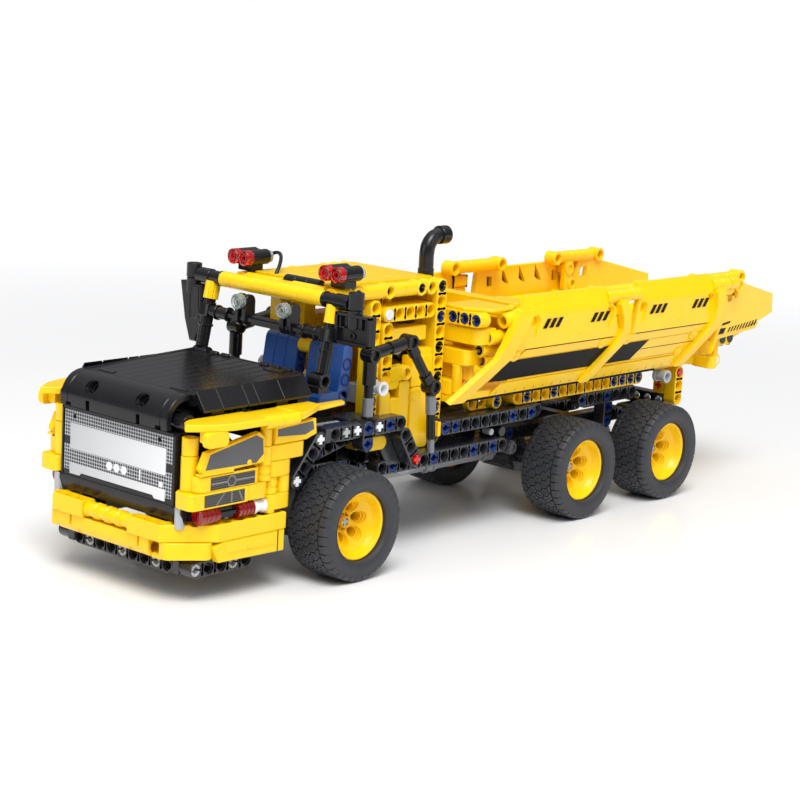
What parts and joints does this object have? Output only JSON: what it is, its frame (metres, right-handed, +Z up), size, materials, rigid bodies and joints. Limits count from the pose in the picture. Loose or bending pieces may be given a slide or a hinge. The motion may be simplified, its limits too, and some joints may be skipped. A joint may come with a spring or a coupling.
{
  "type": "toy dump truck",
  "caption": "Construction-set toy dump truck with open cab, steered front wheels, tandem rear axles and a tipping bed on a hoist.",
  "frame": {"origin": "on the floor, under the middle of the overall box", "axes": "+Z up, -Y towards the front bumper, +X towards the truck's left side"},
  "size_m": [0.14, 0.4949, 0.1651],
  "materials": {
    "yellow_plastic": "satin gloss",
    "dark_grey_plastic": "satin gloss",
    "black_plastic": "gloss",
    "light_grey_plastic": "satin gloss",
    "blue_plastic": "satin gloss",
    "red_clear_plastic": "clear red gloss",
    "tyre": "matte"
  },
  "bodies": {
    "frame": {"chassis_rails": "dark_grey_plastic", "chassis_frame": "dark_grey_plastic", "lower_side_beams": "dark_grey_plastic", "upper_side_beams": "dark_grey_plastic", "side_decks": "dark_grey_plastic", "drivetrain": "dark_grey_plastic", "rear_posts": "yellow_plastic", "bed_hinge_pin": "light_grey_plastic", "front_bumper": "yellow_plastic", "bumper_lower": "yellow_plastic", "bumper_brackets": "dark_grey_plastic", "grille_panel": "black_plastic", "cheek_stacks": "yellow_plastic", "cheek_wedges": "yellow_plastic", "wing_panels": "yellow_plastic", "hood_top": "black_plastic", "hood_side_panels": "black_plastic", "hood_cowl": "black_plastic", "hood_supports": "yellow_plastic", "lamps": "red_clear_plastic", "front_fenders": "dark_grey_plastic", "fender_panels": "dark_grey_plastic", "cab_floor": "dark_grey_plastic", "seats": "blue_plastic", "cab_side_frames": "yellow_plastic", "cab_rear_wall": "yellow_plastic", "tall_beams": "yellow_plastic", "roof_side_beams": "yellow_plastic", "roof_panels": "yellow_plastic", "roof_front_bar": "yellow_plastic", "windscreen_frame": "black_plastic", "mirrors": "black_plastic", "handrails": "black_plastic", "exhaust_pipe": "black_plastic", "front_axle_carrier": "dark_grey_plastic"},
    "knuckle_left": {"knuckle_left": "dark_grey_plastic"},
    "knuckle_right": {"knuckle_right": "dark_grey_plastic"},
    "steering_link": {"steering_link": "dark_grey_plastic"},
    "front_left_wheel": {"front_left_tyre": "tyre", "front_left_rim": "yellow_plastic"},
    "front_right_wheel": {"front_right_tyre": "tyre", "front_right_rim": "yellow_plastic"},
    "mid_left_wheel": {"mid_left_tyre": "tyre", "mid_left_rim": "yellow_plastic"},
    "mid_right_wheel": {"mid_right_tyre": "tyre", "mid_right_rim": "yellow_plastic"},
    "rear_left_wheel": {"rear_left_tyre": "tyre", "rear_left_rim": "yellow_plastic"},
    "rear_right_wheel": {"rear_right_tyre": "tyre", "rear_right_rim": "yellow_plastic"},
    "bed": {"bed_floor": "yellow_plastic", "bed_side_panels": "yellow_plastic", "bed_ribs": "yellow_plastic", "bed_tail_panels": "yellow_plastic", "bed_front_wall": "yellow_plastic", "bed_ears": "yellow_plastic", "bed_beams": "yellow_plastic"},
    "hoist_barrel": {"hoist_barrel": "light_grey_plastic"},
    "hoist_rod": {"hoist_rod": "light_grey_plastic"}
  },
  "joints": [
    {"name": "steer_left", "type": "hinge", "parent": "frame", "child": "knuckle_left", "pos_m": [0.036, -0.142, 0.028], "axis": [0, 0, 1], "range_deg": [-20, 20]},
    {"name": "steer_right", "type": "hinge", "parent": "frame", "child": "knuckle_right", "pos_m": [-0.036, -0.142, 0.028], "axis": [0, 0, 1], "range_deg": [-20, 20]},
    {"name": "steering_link_slide", "type": "slide", "parent": "frame", "child": "steering_link", "axis": [1, 0, 0], "range_m": [-0.006, 0.006]},
    {"name": "front_left_spin", "type": "hinge", "parent": "knuckle_left", "child": "front_left_wheel", "pos_m": [0.0565, -0.142, 0.028], "axis": [1, 0, 0], "continuous": true},
    {"name": "front_right_spin", "type": "hinge", "parent": "knuckle_right", "child": "front_right_wheel", "pos_m": [-0.0565, -0.142, 0.028], "axis": [1, 0, 0], "continuous": true},
    {"name": "mid_left_spin", "type": "hinge", "parent": "frame", "child": "mid_left_wheel", "pos_m": [0.0475, 0.05, 0.028], "axis": [1, 0, 0], "continuous": true},
    {"name": "mid_right_spin", "type": "hinge", "parent": "frame", "child": "mid_right_wheel", "pos_m": [-0.0475, 0.05, 0.028], "axis": [1, 0, 0], "continuous": true},
    {"name": "rear_left_spin", "type": "hinge", "parent": "frame", "child": "rear_left_wheel", "pos_m": [0.0475, 0.13, 0.028], "axis": [1, 0, 0], "continuous": true},
    {"name": "rear_right_spin", "type": "hinge", "parent": "frame", "child": "rear_right_wheel", "pos_m": [-0.0475, 0.13, 0.028], "axis": [1, 0, 0], "continuous": true},
    {"name": "bed_tilt", "type": "hinge", "parent": "frame", "child": "bed", "pos_m": [0, 0.158, 0.07], "axis": [-1, 0, 0], "range_deg": [0, 55]},
    {"name": "hoist_swing", "type": "hinge", "parent": "frame", "child": "hoist_barrel", "pos_m": [0, 0, 0.046], "axis": [1, 0, 0], "range_deg": [0, 17.6]},
    {"name": "hoist_extend", "type": "slide", "parent": "hoist_barrel", "child": "hoist_rod", "axis": [0, 0.9735, 0.2285], "range_m": [0, 0.0425]}
  ],
  "couplings": [
    {"joint": "steer_right", "follows": "steer_left", "ratio": 1},
    {"joint": "steering_link_slide", "follows": "steer_left", "m_per_rad": -0.0157},
    {"joint": "hoist_swing", "follows": "bed_tilt", "ratio": 0.316},
    {"joint": "hoist_extend", "follows": "bed_tilt", "m_per_rad": 0.04374}
  ]
}
